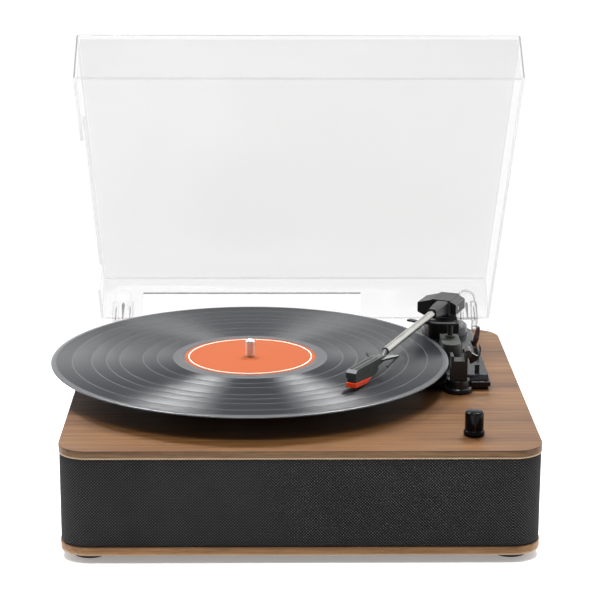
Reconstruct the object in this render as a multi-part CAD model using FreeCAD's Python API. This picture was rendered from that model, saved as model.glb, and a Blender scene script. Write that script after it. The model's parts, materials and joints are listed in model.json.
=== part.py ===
import FreeCAD, Part
import math
import os

# Belt-drive record player with a clear hinged dust cover, stored with a record on the platter,
# the stylus lowered onto it and the cover held open. Millimetres, +X right, +Y back, +Z up.
# The model is built about the centre of the plinth on the floor. ORIGIN_SHIFT then moves it so
# that the origin is the centre of the floor under the whole machine, overhangs and cover included.

# plinth
PLINTH_W = 335.0
PLINTH_D = 313.0
CORNER_R = 21.0
FOOT_H = 6.0
BOARD_T = 6.0
BAND_H = 64.0
CLOTH_T = 1.0
CLOTH_INSET = 0.5
WALL_T = 9.0
BOARD_Z = FOOT_H
BAND_Z = BOARD_Z + BOARD_T
BAND_TOP = BAND_Z + BAND_H
DECK_Z = BAND_TOP + BOARD_T
BACK_Y = PLINTH_D / 2 - CLOTH_INSET

# record, platter and drive
SPINDLE_X = -36.3
SPINDLE_Y = 14.2
SPINDLE_R = 3.55
SPINDLE_ABOVE = 13.5
RECORD_R = 151.0
RECORD_T = 1.9
RECORD_TOP = DECK_Z + 18.3
LABEL_R = 50.0
LABEL_T = 0.1
MAT_R = 94.0
MAT_T = 2.4
PLATTER_R = 98.0
PLATTER_T = 4.0
DRUM_R = 60.0
PULLEY_R = 5.0
MOTOR_X = SPINDLE_X - 66.0
MOTOR_Y = SPINDLE_Y - 48.0
BELT_T = 1.0
BELT_H = 3.4

# dust cover
COVER_W = 324.2
COVER_L = 292.9
COVER_H = 43.0
COVER_T = 2.5
COVER_GAP = 0.3
COVER_BACK = 146.3
COVER_OPEN = 51.2
SLOT_DEPTH = 26.0
SLOT_HALF = 91.5
HINGE_X = 144.5
HINGE_Y = 161.0
HINGE_Z = DECK_Z - 7.6
HINGE_PIN_R = 1.5

# tonearm
PIVOT_X = 121.0
PIVOT_Y = 114.0
ARM_ANGLE = 22.7
TILT_Z = DECK_Z + 31.0
TUBE_R = 2.95
TUBE_DROP = 0.8
TUBE_END = 146.0
SHELL_ANGLE = 6.0
SHELL_SIDE = 2.5
STYLUS_CLEAR = 0.3
BASE_LEFT = 94.0
BASE_RIGHT = 144.6
BASE_FRONT = -15.5
BASE_H = 10.0
REST_X = 120.0
REST_Y = -18.5
CLIP_X = 126.3
CLIP_Z = DECK_Z + 30.0
CLIP_INNER = 9.75
CLIP_OUTER = 10.8
CLIP_PIN_R = 1.2
LIFT_R = 47.0
CUE_X = 141.6
CUE_Y = 74.0
CUE_Z = DECK_Z + 6.5
CUE_SHAFT_R = 1.45
TURRET_H = 7.0

# controls and sockets
KNOB_X = 121.5
KNOB_Y = -122.0
KNOB_R = 6.6
KNOB_FLANGE_R = 7.4
KNOB_H = 17.5
SPEED_X = 136.0
SPEED_Y = 2.0
SPEED_TRAVEL = 6.0
PANEL_W = 150.0
PANEL_H = 46.0
PANEL_Z = BAND_Z + BAND_H / 2
SOCKET_PITCH = 14.0

RUN = 0.05
GAP = 0.3
ORIGIN_SHIFT = FreeCAD.Vector(9.9, -17.2, 0)

V = FreeCAD.Vector
X_AXIS = V(1, 0, 0)
Y_AXIS = V(0, 1, 0)
Z_AXIS = V(0, 0, 1)


def box(x0, x1, y0, y1, z0, z1):
    return Part.makeBox(x1 - x0, y1 - y0, z1 - z0, V(x0, y0, z0))


def rod(x, y, z0, z1, radius):
    return Part.makeCylinder(radius, z1 - z0, V(x, y, z0))


def rod_between(start, end, radius):
    along = end - start
    return Part.makeCylinder(radius, along.Length, start, along)


def ring(x, y, z0, z1, outer, inner):
    return rod(x, y, z0, z1, outer).cut(rod(x, y, z0 - 1, z1 + 1, inner))


def joined(shapes):
    return shapes[0].multiFuse(shapes[1:]).removeSplitter() if len(shapes) > 1 else shapes[0]


def less(shape, cutters):
    return shape.cut(Part.makeCompound(cutters))


def prism(points, along):
    """A polygon of 3-D points, swept by the vector along."""
    return Part.Face(Part.makePolygon(points + [points[0]])).extrude(along)


def side_prism(points, x0, x1):
    """A polygon in the Y-Z plane, swept from x0 to x1."""
    return prism([V(x0, y, z) for y, z in points], V(x1 - x0, 0, 0))


def front_prism(points, y0, y1):
    """A polygon in the X-Z plane, swept from y0 to y1."""
    return prism([V(x, y0, z) for x, z in points], V(0, y1 - y0, 0))


def upright(edge):
    reach = edge.BoundBox
    return reach.XLength < 1e-3 and reach.YLength < 1e-3


def rounded_slab(width, depth, z0, z1, radius):
    slab = box(-width / 2, width / 2, -depth / 2, depth / 2, z0, z1)
    return slab.makeFillet(radius, [e for e in slab.Edges if upright(e)])


def soften(shape, radius, choose):
    """Rounds the edges for which choose(edge) is true."""
    return shape.makeFillet(radius, [e for e in shape.Edges if choose(e)])


def at_height(z):
    return lambda e: abs(e.BoundBox.ZMin - z) < 1e-3 and abs(e.BoundBox.ZMax - z) < 1e-3


def screw(x, y, z, axis, length, shank_r, head_r, head_t):
    """A screw whose head sits on the surface at (x, y, z) and whose shank runs along axis."""
    base = V(x, y, z)
    shank = Part.makeCylinder(shank_r, length, base, axis)
    head = Part.makeCylinder(head_r, head_t, base - axis * head_t, axis)
    return shank.fuse(head).removeSplitter()


# ---- plinth ----------------------------------------------------------------------------------

FOOT_X = PLINTH_W / 2 - 20.5
FOOT_Y = PLINTH_D / 2 - 23.0
FOOT_R = 13.5
FOOT_SPOTS = [(sx * FOOT_X, sy * FOOT_Y) for sx in (-1, 1) for sy in (-1, 1)]
FOOT_RECESS = 3.0

SPEAKER_X = 96.0
SPEAKER_HOLE_R = 25.0
SPEAKER_FRAME = 61.0

BLOCK = 30.0
BASE_SCREWS = [(102.0, 6.0), (102.0, 64.0), (132.0, 36.0)]


def foot(x, y):
    pad = Part.makeCone(FOOT_R - 1.5, FOOT_R, FOOT_H, V(x, y, 0))
    bore = rod(x, y, -1, FOOT_RECESS, 4.0).fuse(rod(x, y, 0, FOOT_H + 1, 1.8))
    return pad.cut(bore)


def foot_screws():
    """Long screws up through foot and bottom board into the corner blocks of the frame."""
    return Part.makeCompound([screw(x, y, FOOT_RECESS, Z_AXIS, 34.0, 1.8, 3.4, 1.8) for x, y in FOOT_SPOTS])


def bottom_board():
    board = rounded_slab(PLINTH_W, PLINTH_D, BOARD_Z, BOARD_Z + BOARD_T, CORNER_R)
    return less(board, [foot_screws()])


def top_board():
    board = rounded_slab(PLINTH_W, PLINTH_D, BAND_TOP, DECK_Z, CORNER_R)
    holes = [
        rod(SPINDLE_X, SPINDLE_Y, BAND_TOP - 1, DECK_Z + 1, 8.0),
        rod(MOTOR_X, MOTOR_Y, BAND_TOP - 1, DECK_Z + 1, 9.0),
        rod(PIVOT_X, PIVOT_Y, BAND_TOP - 1, DECK_Z + 1, 9.0),
        rod(KNOB_X, KNOB_Y, BAND_TOP - 1, DECK_Z + 1, 3.6),
        base_screws(),
    ]
    return less(board, holes)


WALL_W = PLINTH_W - 2 * (CLOTH_INSET + CLOTH_T)
WALL_D = PLINTH_D - 2 * (CLOTH_INSET + CLOTH_T)
WALL_R = CORNER_R - CLOTH_INSET - CLOTH_T


def panel_window():
    return box(-PANEL_W / 2, PANEL_W / 2, BACK_Y - 30, BACK_Y + 5,
               PANEL_Z - PANEL_H / 2, PANEL_Z + PANEL_H / 2)


def cabinet_frame():
    """The hollow frame between the boards, with a block in each corner for the screws."""
    outer = rounded_slab(WALL_W, WALL_D, BAND_Z, BAND_TOP, WALL_R)
    across = box(-WALL_W / 2 + BLOCK, WALL_W / 2 - BLOCK, -WALL_D / 2 + WALL_T, WALL_D / 2 - WALL_T,
                 BAND_Z - 1, BAND_TOP + 1)
    along = box(-WALL_W / 2 + WALL_T, WALL_W / 2 - WALL_T, -WALL_D / 2 + BLOCK, WALL_D / 2 - BLOCK,
                BAND_Z - 1, BAND_TOP + 1)
    holes = [Part.makeCylinder(SPEAKER_HOLE_R, 60, V(side * SPEAKER_X, -WALL_D / 2 - 20, PANEL_Z), Y_AXIS)
             for side in (-1, 1)]
    return less(outer, [across, along, panel_window(), foot_screws(), hinge_screws()] + holes)


def speaker_cloth():
    outer = rounded_slab(PLINTH_W - 2 * CLOTH_INSET, PLINTH_D - 2 * CLOTH_INSET, BAND_Z, BAND_TOP,
                         CORNER_R - CLOTH_INSET)
    inner = rounded_slab(WALL_W, WALL_D, BAND_Z - 1, BAND_TOP + 1, WALL_R)
    return less(outer, [inner, panel_window(), hinge_screws()])


SPEAKER_Y = -WALL_D / 2 + WALL_T


def speaker_frame(side):
    """Square front plate, conical basket and magnet of one loudspeaker, riveted together."""
    x = side * SPEAKER_X
    half = SPEAKER_FRAME / 2
    plate = box(x - half, x + half, SPEAKER_Y, SPEAKER_Y + 2, PANEL_Z - half, PANEL_Z + half)
    basket = Part.makeCone(SPEAKER_HOLE_R + 1, 17, 16, V(x, SPEAKER_Y + 2, PANEL_Z), Y_AXIS)
    magnet = Part.makeCylinder(17.0, 12, V(x, SPEAKER_Y + 18, PANEL_Z), Y_AXIS)
    hollow = Part.makeCone(SPEAKER_HOLE_R - 0.5, 15.5, 16, V(x, SPEAKER_Y + 1, PANEL_Z), Y_AXIS)
    mouth = Part.makeCylinder(SPEAKER_HOLE_R - 0.5, 3, V(x, SPEAKER_Y - 1, PANEL_Z), Y_AXIS)
    return joined([plate, basket, magnet]).cut(hollow.fuse(mouth))


def speaker_cone(side):
    x = side * SPEAKER_X
    cone = Part.makeCone(23.0, 7.0, 12, V(x, SPEAKER_Y + 2.5, PANEL_Z), Y_AXIS)
    hollow = Part.makeCone(22.2, 6.2, 12, V(x, SPEAKER_Y + 1.7, PANEL_Z), Y_AXIS)
    surround = Part.makeCylinder(23.4, 0.8, V(x, SPEAKER_Y + 2.0, PANEL_Z), Y_AXIS)
    opening = Part.makeCylinder(22.2, 3, V(x, SPEAKER_Y + 1, PANEL_Z), Y_AXIS)
    cap = Part.makeCylinder(7.0, 0.8, V(x, SPEAKER_Y + 13.7, PANEL_Z), Y_AXIS)
    return joined([cone.cut(hollow), surround.cut(opening), cap])


# ---- rear panel and electronics --------------------------------------------------------------

PANEL_Y = BACK_Y - 2.5
RCA_X = [-30.0 - SOCKET_PITCH, -30.0]
RCA_Z = PANEL_Z + 4.0
RCA_R = 4.15
RCA_BORE_R = 1.65
RCA_LENGTH = 9.5
JACK_X = -2.0
JACK_R = 1.8
JACK_NOSE_R = 3.5
INLET_X = 34.0
INLET_R = 2.8
INLET_NOSE_R = 4.6
BOARD_SPOTS = [(-52.0, 92.0), (52.0, 92.0), (-52.0, 138.0), (52.0, 138.0)]
CIRCUIT_Z = BAND_Z + 8.0


def rca_sockets():
    shapes = []
    for x in RCA_X:
        barrel = Part.makeCylinder(RCA_R, RCA_LENGTH, V(x, BACK_Y, RCA_Z), Y_AXIS)
        body = Part.makeCylinder(5.5, 8.0, V(x, PANEL_Y - 8.0, RCA_Z), Y_AXIS)
        stem = Part.makeCylinder(RCA_R, 2.5, V(x, PANEL_Y, RCA_Z), Y_AXIS)
        bore = Part.makeCylinder(RCA_BORE_R, RCA_LENGTH + 1, V(x, BACK_Y + 1, RCA_Z), Y_AXIS)
        shapes.append(barrel.fuse([body, stem]).removeSplitter().cut(bore))
    return Part.makeCompound(shapes)


def headphone_jack():
    body = box(JACK_X - 5, JACK_X + 5, PANEL_Y - 13, PANEL_Y, RCA_Z - 5, RCA_Z + 5)
    nose = Part.makeCylinder(JACK_NOSE_R, 4.0, V(JACK_X, PANEL_Y, RCA_Z), Y_AXIS)
    bore = Part.makeCylinder(JACK_R, 16.0, V(JACK_X, PANEL_Y - 12.0, RCA_Z), Y_AXIS)
    return body.fuse(nose).removeSplitter().cut(bore)


def power_inlet():
    body = box(INLET_X - 6, INLET_X + 6, PANEL_Y - 13, PANEL_Y, RCA_Z - 6, RCA_Z + 6)
    nose = Part.makeCylinder(INLET_NOSE_R, 3.0, V(INLET_X, PANEL_Y, RCA_Z), Y_AXIS)
    bore = Part.makeCylinder(INLET_R, 13.0, V(INLET_X, PANEL_Y - 9.5, RCA_Z), Y_AXIS)
    return body.fuse(nose).removeSplitter().cut(bore)


def rear_panel():
    plate = box(-PANEL_W / 2, PANEL_W / 2, PANEL_Y, BACK_Y, PANEL_Z - PANEL_H / 2, PANEL_Z + PANEL_H / 2)
    holes = [(RCA_X[0], RCA_R), (RCA_X[1], RCA_R), (JACK_X, JACK_NOSE_R), (INLET_X, INLET_NOSE_R)]
    return less(plate, [Part.makeCylinder(r, 20, V(x, PANEL_Y - 5, RCA_Z), Y_AXIS) for x, r in holes])


def amplifier_board():
    board = box(-60, 60, 86, 143, CIRCUIT_Z, CIRCUIT_Z + 1.6)
    return less(board, [rod(x, y, CIRCUIT_Z - 1, CIRCUIT_Z + 3, 1.6) for x, y in BOARD_SPOTS])


def board_posts():
    posts = []
    for x, y in BOARD_SPOTS:
        post = rod(x, y, BAND_Z, CIRCUIT_Z, 3.0).fuse(rod(x, y, CIRCUIT_Z, CIRCUIT_Z + 1.6, 1.6))
        posts.append(post.fuse(rod(x, y, CIRCUIT_Z + 1.6, CIRCUIT_Z + 3.2, 2.8)).removeSplitter())
    return Part.makeCompound(posts)


def amplifier_parts():
    floor = CIRCUIT_Z + 1.6
    sink = box(-30, 10, 92, 96, floor, floor + 20)
    fins = [box(-30 + 5 * i, -28.5 + 5 * i, 96, 106, floor, floor + 20) for i in range(9)]
    cans = [rod(24 + 13 * i, 100, floor, floor + 18, 5.0) for i in range(2)]
    chip = box(-12, 8, 114, 126, floor, floor + 2.5)
    return Part.makeCompound([joined([sink] + fins)] + cans + [chip])


# ---- platter and drive -----------------------------------------------------------------------

RECORD_Z = RECORD_TOP - RECORD_T
MAT_Z = RECORD_Z - MAT_T
PLATTER_Z = MAT_Z - PLATTER_T
DRUM_Z = DECK_Z + 2.5
SHAFT_R = 3.0
BEARING_R = 7.0
BEARING_BOTTOM = DECK_Z - 34.0
FLANGE_R = 13.0


def platter_bearing():
    sleeve = rod(SPINDLE_X, SPINDLE_Y, BEARING_BOTTOM, DECK_Z, BEARING_R)
    flange = rod(SPINDLE_X, SPINDLE_Y, BAND_TOP - 3, BAND_TOP, FLANGE_R)
    bore = rod(SPINDLE_X, SPINDLE_Y, BEARING_BOTTOM + 3, DECK_Z + 1, SHAFT_R + RUN)
    return sleeve.fuse(flange).removeSplitter().cut(bore)


def spindle():
    """The shaft in the bearing, carrying the wider round-nosed pin above the record."""
    foot = RECORD_TOP + 0.5
    top = RECORD_TOP + SPINDLE_ABOVE
    shaft = rod(SPINDLE_X, SPINDLE_Y, BEARING_BOTTOM + 3 + GAP, foot, SHAFT_R)
    post = rod(SPINDLE_X, SPINDLE_Y, foot, top, SPINDLE_R)
    post = soften(post, 2.4, at_height(top))
    return joined([shaft, post])


def platter():
    disc = rod(SPINDLE_X, SPINDLE_Y, PLATTER_Z, MAT_Z, PLATTER_R)
    disc = soften(disc, 1.5, at_height(MAT_Z))
    rim = ring(SPINDLE_X, SPINDLE_Y, PLATTER_Z - 3.0, PLATTER_Z, PLATTER_R - 1, PLATTER_R - 5)
    drum = ring(SPINDLE_X, SPINDLE_Y, DRUM_Z, PLATTER_Z, DRUM_R, DRUM_R - 3)
    hub = rod(SPINDLE_X, SPINDLE_Y, DRUM_Z, PLATTER_Z, 9.0)
    return joined([disc, rim, drum, hub]).cut(spindle())


def slip_mat():
    mat = rod(SPINDLE_X, SPINDLE_Y, MAT_Z, RECORD_Z, MAT_R)
    return mat.cut(spindle())


def record_disc():
    disc = rod(SPINDLE_X, SPINDLE_Y, RECORD_Z, RECORD_TOP, RECORD_R)
    disc = soften(disc, 0.8, at_height(RECORD_TOP))
    hole = rod(SPINDLE_X, SPINDLE_Y, RECORD_Z - 1, RECORD_TOP + 1, SPINDLE_R + RUN)
    seat = rod(SPINDLE_X, SPINDLE_Y, RECORD_TOP - LABEL_T, RECORD_TOP + 1, LABEL_R)
    return disc.cut(hole.fuse(seat))


def record_label():
    return ring(SPINDLE_X, SPINDLE_Y, RECORD_TOP - LABEL_T, RECORD_TOP + 0.1, LABEL_R, SPINDLE_R + RUN)


PULLEY_Z = DECK_Z + 2.2
PULLEY_TOP = PULLEY_Z + 7.2
BELT_Z = DRUM_Z + 2.0
MOTOR_TOP = BAND_TOP - 5.0
MOTOR_R = 17.5
MOTOR_H = 24.0
MOTOR_SHAFT_R = 1.0


def motor_pulley():
    """The grooved pulley, turned in one piece with the motor's shaft."""
    wheel = rod(MOTOR_X, MOTOR_Y, PULLEY_Z, PULLEY_TOP, PULLEY_R)
    low = rod(MOTOR_X, MOTOR_Y, PULLEY_Z, PULLEY_Z + 1.2, PULLEY_R + 1.6)
    high = rod(MOTOR_X, MOTOR_Y, PULLEY_TOP - 1.2, PULLEY_TOP, PULLEY_R + 1.6)
    shaft = rod(MOTOR_X, MOTOR_Y, MOTOR_TOP - 10.0, PULLEY_TOP, MOTOR_SHAFT_R)
    return joined([wheel, low, high, shaft])


def motor_can():
    """The motor, with a mounting plate whose three raised ears are fixed under the top board."""
    can = rod(MOTOR_X, MOTOR_Y, MOTOR_TOP - 2 - MOTOR_H, MOTOR_TOP - 2, MOTOR_R)
    nose = rod(MOTOR_X, MOTOR_Y, MOTOR_TOP - 2, MOTOR_TOP + 1.5, 4.0)
    plate = rod(MOTOR_X, MOTOR_Y, MOTOR_TOP - 2, MOTOR_TOP, 20.0)
    ears = [rod(MOTOR_X + 22.0 * math.cos(a), MOTOR_Y + 22.0 * math.sin(a), MOTOR_TOP - 2, BAND_TOP, 5.0)
            for a in (math.radians(30), math.radians(150), math.radians(270))]
    bore = rod(MOTOR_X, MOTOR_Y, MOTOR_TOP - 10.5, MOTOR_TOP + 3, MOTOR_SHAFT_R + RUN)
    return joined([can, nose, plate] + ears).cut(bore)


def belt_outline(grow):
    """The belt loop's outline, grow outside the drum and pulley: a hull of two circles."""
    near = DRUM_R + grow
    far = PULLEY_R + grow
    dx = MOTOR_X - SPINDLE_X
    dy = MOTOR_Y - SPINDLE_Y
    span = math.hypot(dx, dy)
    heading = math.atan2(dy, dx)
    lean = math.acos((near - far) / span)

    def on(cx, cy, radius, angle):
        return V(cx + radius * math.cos(angle), cy + radius * math.sin(angle), BELT_Z)

    a = on(SPINDLE_X, SPINDLE_Y, near, heading + lean)
    b = on(SPINDLE_X, SPINDLE_Y, near, heading + math.pi)
    c = on(SPINDLE_X, SPINDLE_Y, near, heading - lean)
    d = on(MOTOR_X, MOTOR_Y, far, heading - lean)
    e = on(MOTOR_X, MOTOR_Y, far, heading)
    f = on(MOTOR_X, MOTOR_Y, far, heading + lean)
    edges = [Part.Arc(a, b, c).toShape(), Part.LineSegment(c, d).toShape(),
             Part.Arc(d, e, f).toShape(), Part.LineSegment(f, a).toShape()]
    return Part.Face(Part.Wire(edges)).extrude(V(0, 0, BELT_H))


def drive_belt():
    return belt_outline(GAP + BELT_T).cut(belt_outline(GAP))


# ---- dust cover and hinges -------------------------------------------------------------------

HINGE_AXIS = V(0, HINGE_Y, HINGE_Z)
COVER_Z = DECK_Z + COVER_GAP
FORK_IN = 3.8
FORK_OUT = 8.8
KNUCKLE_R = 3.8
PLATE_T = 3.0


def opened(shape):
    """Carries a shape drawn with the cover shut to its place with the cover open."""
    turned = shape.copy()
    turned.rotate(HINGE_AXIS, X_AXIS, -COVER_OPEN)
    return turned


def dust_cover():
    half = COVER_W / 2
    front = COVER_BACK - COVER_L
    top = COVER_Z + COVER_H
    shell = box(-half, half, front, COVER_BACK, COVER_Z, top)
    shell = soften(shell, 1.6, lambda e: upright(e) or at_height(top)(e))
    inside = box(-half + COVER_T, half - COVER_T, front + COVER_T, COVER_BACK - COVER_T,
                 COVER_Z - 1, top - COVER_T)
    left_slot = box(-half - 1, -half + COVER_T + 1, SPINDLE_Y - SLOT_HALF, SPINDLE_Y + SLOT_HALF,
                    COVER_Z - 1, COVER_Z + SLOT_DEPTH)
    rear_slot = box(SPINDLE_X - SLOT_HALF, SPINDLE_X + SLOT_HALF, COVER_BACK - COVER_T - 1, COVER_BACK + 1,
                    COVER_Z - 1, COVER_Z + SLOT_DEPTH)
    return opened(less(shell, [inside, left_slot, rear_slot]))


def hinge_upper(side):
    back = COVER_BACK
    low = DECK_Z + 0.8
    outline = [(-FORK_OUT, low), (FORK_OUT, low), (6.8, low + 24), (-6.8, low + 24)]
    plate = front_prism(outline, back, back + PLATE_T)
    arch = Part.makeCylinder(6.8, PLATE_T, V(0, back, low + 24), Y_AXIS)
    web = [(back + PLATE_T, low), (HINGE_Y - KNUCKLE_R, low), (HINGE_Y - KNUCKLE_R, HINGE_Z),
           (HINGE_Y, HINGE_Z), (HINGE_Y + KNUCKLE_R, HINGE_Z), (HINGE_Y + KNUCKLE_R, low + 2),
           (back + PLATE_T, low + 20)]
    shapes = [plate, arch]
    for x0, x1 in ((-FORK_OUT, -FORK_IN), (FORK_IN, FORK_OUT)):
        shapes.append(side_prism(web, x0, x1))
        shapes.append(Part.makeCylinder(KNUCKLE_R, x1 - x0, V(x0, HINGE_Y, HINGE_Z), X_AXIS))
    bore = Part.makeCylinder(HINGE_PIN_R + RUN, 30, V(-15, HINGE_Y, HINGE_Z), X_AXIS)
    shape = joined(shapes).cut(bore)
    shape.translate(V(side * HINGE_X, 0, 0))
    return opened(shape)


def hinge_lower(side):
    foot = box(-FORK_OUT, FORK_OUT, BACK_Y, BACK_Y + PLATE_T, DECK_Z - 38, DECK_Z - 12.4)
    neck = side_prism([(BACK_Y, DECK_Z - 13), (BACK_Y, DECK_Z - 8.4), (HINGE_Y, HINGE_Z),
                       (HINGE_Y + KNUCKLE_R, HINGE_Z), (BACK_Y + PLATE_T, DECK_Z - 16),
                       (BACK_Y + PLATE_T - 1, DECK_Z - 16)], -3.5, 3.5)
    knuckle = Part.makeCylinder(KNUCKLE_R, 7.0, V(-3.5, HINGE_Y, HINGE_Z), X_AXIS)
    shape = joined([foot, neck, knuckle])
    shape.translate(V(side * HINGE_X, 0, 0))
    return less(shape, [hinge_pins(), hinge_screws()])


def hinge_pins():
    pins = []
    for side in (-1, 1):
        end = V(side * HINGE_X - FORK_OUT - 0.5, HINGE_Y, HINGE_Z)
        pins.append(Part.makeCylinder(HINGE_PIN_R, 2 * FORK_OUT + 1, end, X_AXIS))
    return Part.makeCompound(pins)


def hinge_screws():
    return Part.makeCompound(
        [screw(side * HINGE_X + dx, BACK_Y + PLATE_T, DECK_Z - 30, V(0, -1, 0), 12.0, 1.4, 2.8, 1.4)
         for side in (-1, 1) for dx in (-5.4, 5.4)]
    )


# ---- tonearm base ----------------------------------------------------------------------------

COLUMN_TOP = DECK_Z + 22.6
YOKE_SHAFT_R = 3.0
LIFT_PIN_R = 2.2
LIFT_HOUSE_TOP = DECK_Z + 18.3
LIFT_X = PIVOT_X
LIFT_Y = PIVOT_Y - LIFT_R
LIFT_BAR_TOP = DECK_Z + 29.9
LIFT_BAR_T = 1.5


def lobed(x0, x1, y0, z0, z1):
    """A plate with a square front and a round rear end centred on the arm's pivot line."""
    radius = (x1 - x0) / 2
    body = box(x0, x1, y0, PIVOT_Y, z0, z1)
    return body.fuse(rod((x0 + x1) / 2, PIVOT_Y, z0, z1, radius)).removeSplitter()


def arm_base():
    """The layered lobe under the tonearm, with the openings for everything that moves in it."""
    foot_layer = lobed(BASE_LEFT + 1.6, BASE_RIGHT - 1.6, BASE_FRONT + 1.9, DECK_Z, DECK_Z + 2.8)
    flange = lobed(BASE_LEFT, BASE_RIGHT, BASE_FRONT, DECK_Z + 2.8, DECK_Z + 6.2)
    upper = lobed(BASE_LEFT + 1.2, BASE_RIGHT - 1.2, BASE_FRONT + 3.5, DECK_Z + 6.2, DECK_Z + BASE_H)
    bevel = side_prism([(BASE_FRONT + 3, DECK_Z + 6.8), (BASE_FRONT + 7.3, DECK_Z + BASE_H + 0.01),
                        (BASE_FRONT + 3, DECK_Z + BASE_H + 0.01)], BASE_LEFT - 5, BASE_RIGHT + 5)
    openings = [
        bevel,
        rod(REST_X, REST_Y, DECK_Z - 1, DECK_Z + BASE_H + 1, 10.6),
        rod(PIVOT_X, PIVOT_Y, DECK_Z - 1, DECK_Z + BASE_H + 1, YOKE_SHAFT_R + 2.4),
        rod(LIFT_X, LIFT_Y, DECK_Z + 4, DECK_Z + BASE_H + 1, LIFT_PIN_R + 0.6),
        box(CUE_X - 2.4, BASE_RIGHT + 1, CUE_Y - 10, CUE_Y + 12, DECK_Z + 1.5, DECK_Z + BASE_H + 1),
        Part.makeCylinder(CUE_SHAFT_R + RUN, 16, V(CUE_X - 10, CUE_Y, CUE_Z), X_AXIS),
        box(SPEED_X - 2, SPEED_X + 2, SPEED_Y - 4.5, SPEED_Y + SPEED_TRAVEL + 4.5,
            DECK_Z + 2.5, DECK_Z + 6.8),
        box(SPEED_X - 1, SPEED_X + 1, SPEED_Y - 3, SPEED_Y + SPEED_TRAVEL + 3,
            DECK_Z + 3, DECK_Z + BASE_H + 1),
        base_screws(),
    ]
    return less(joined([foot_layer, flange, upper]), openings)


def base_screws():
    """Screws up through the top board into the arm base."""
    return Part.makeCompound([screw(x, y, BAND_TOP, Z_AXIS, 13.0, 1.4, 2.8, 1.6) for x, y in BASE_SCREWS])


def arm_turret():
    cone = Part.makeCone(18.6, 17.8, TURRET_H, V(PIVOT_X, PIVOT_Y, DECK_Z + BASE_H))
    cone = soften(cone, 1.5, at_height(DECK_Z + BASE_H + TURRET_H))
    return less(cone, [arm_column_solid(), rod(PIVOT_X, PIVOT_Y, DECK_Z, DECK_Z + 30, YOKE_SHAFT_R + 2.4)])


def arm_column_solid():
    block = box(PIVOT_X - 8.5, PIVOT_X + 9.5, PIVOT_Y - 22.0, PIVOT_Y + 6.0, DECK_Z + BASE_H, COLUMN_TOP)
    drum = rod(PIVOT_X - 9.0, PIVOT_Y - 15.0, DECK_Z + BASE_H, COLUMN_TOP, 6.4)
    return block.fuse(drum).removeSplitter()


def arm_column():
    bore = rod(PIVOT_X, PIVOT_Y, DECK_Z, DECK_Z + 40, YOKE_SHAFT_R + RUN)
    return arm_column_solid().cut(bore)


def lift_housing():
    body = box(LIFT_X - 7.2, LIFT_X + 7.2, LIFT_Y - 15.8, LIFT_Y + 10.0, DECK_Z + BASE_H, LIFT_HOUSE_TOP)
    nose = rod(LIFT_X, LIFT_Y - 15.8, DECK_Z + BASE_H, LIFT_HOUSE_TOP, 7.2)
    boss = rod(LIFT_X, LIFT_Y, LIFT_HOUSE_TOP, LIFT_HOUSE_TOP + 2.0, LIFT_PIN_R + 2.0)
    bore = rod(LIFT_X, LIFT_Y, DECK_Z, DECK_Z + 40, LIFT_PIN_R + RUN)
    return joined([body, nose, boss]).cut(bore)


def rest_collar():
    base = rod(REST_X, REST_Y, DECK_Z, DECK_Z + 4.0, 10.6)
    base = soften(base, 1.2, at_height(DECK_Z + 4.0))
    upper = Part.makeCone(8.9, 8.4, 5.8, V(REST_X, REST_Y, DECK_Z + 4.0))
    return base.fuse(upper).removeSplitter()


REST_HALF = 6.1
REST_FRONT = -24.0
REST_BACK = -13.0
NOTCH_HALF = 4.1
NOTCH_Z = DECK_Z + 25.0
PRONG_TOP = DECK_Z + 28.7
REST_FOOT = DECK_Z + 9.8


def arm_rest():
    """A notched post for the parked tube, with a side lug and pin for the clip."""
    post = box(REST_X - REST_HALF, REST_X + REST_HALF, REST_FRONT, REST_BACK, REST_FOOT, PRONG_TOP)
    prong = box(REST_X + NOTCH_HALF, REST_X + REST_HALF, REST_FRONT, REST_BACK, NOTCH_Z, PRONG_TOP + 1.7)
    notch = box(REST_X - NOTCH_HALF, REST_X + NOTCH_HALF, REST_FRONT - 1, REST_BACK + 1,
                NOTCH_Z, PRONG_TOP + 5)
    lug = Part.makeCylinder(3.0, REST_BACK - REST_FRONT - 1.5, V(CLIP_X, REST_FRONT + 1.5, CLIP_Z), Y_AXIS)
    gusset = box(REST_X + NOTCH_HALF, CLIP_X, REST_FRONT + 1.5, REST_BACK, DECK_Z + 22.0, CLIP_Z)
    pin = Part.makeCylinder(CLIP_PIN_R, 5.4, V(CLIP_X, REST_BACK, CLIP_Z), Y_AXIS)
    return joined([post, prong, lug, gusset]).cut(notch).fuse(pin).removeSplitter()


def rest_clip():
    """A hooked strip that turns on the arm rest's side pin and closes over the parked tube."""
    y0 = REST_BACK + GAP
    width = 3.4
    hub = Part.makeCylinder(3.0, width, V(CLIP_X, y0, CLIP_Z), Y_AXIS)
    outer = Part.makeCylinder(CLIP_OUTER, width, V(CLIP_X, y0, CLIP_Z), Y_AXIS)
    inner = Part.makeCylinder(CLIP_INNER, width, V(CLIP_X, y0, CLIP_Z), Y_AXIS)
    hoop = outer.cut(inner).common(sector(-75, 22, y0, width))
    web = outer.common(sector(-75, -28, y0, width))
    bore = Part.makeCylinder(CLIP_PIN_R + RUN, 10, V(CLIP_X, y0 - 2, CLIP_Z), Y_AXIS)
    return joined([hub, web, hoop]).cut(bore)


def sector(low, high, y0, width):
    """A pie slice about the clip's axis, angles measured from +X towards +Z."""
    steps = 6
    rim = [math.radians(low + (high - low) * i / steps) for i in range(steps + 1)]
    reach = CLIP_OUTER * 1.3
    points = [(CLIP_X, CLIP_Z)]
    points += [(CLIP_X + reach * math.cos(a), CLIP_Z + reach * math.sin(a)) for a in rim]
    return front_prism(points, y0, y0 + width)


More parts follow.
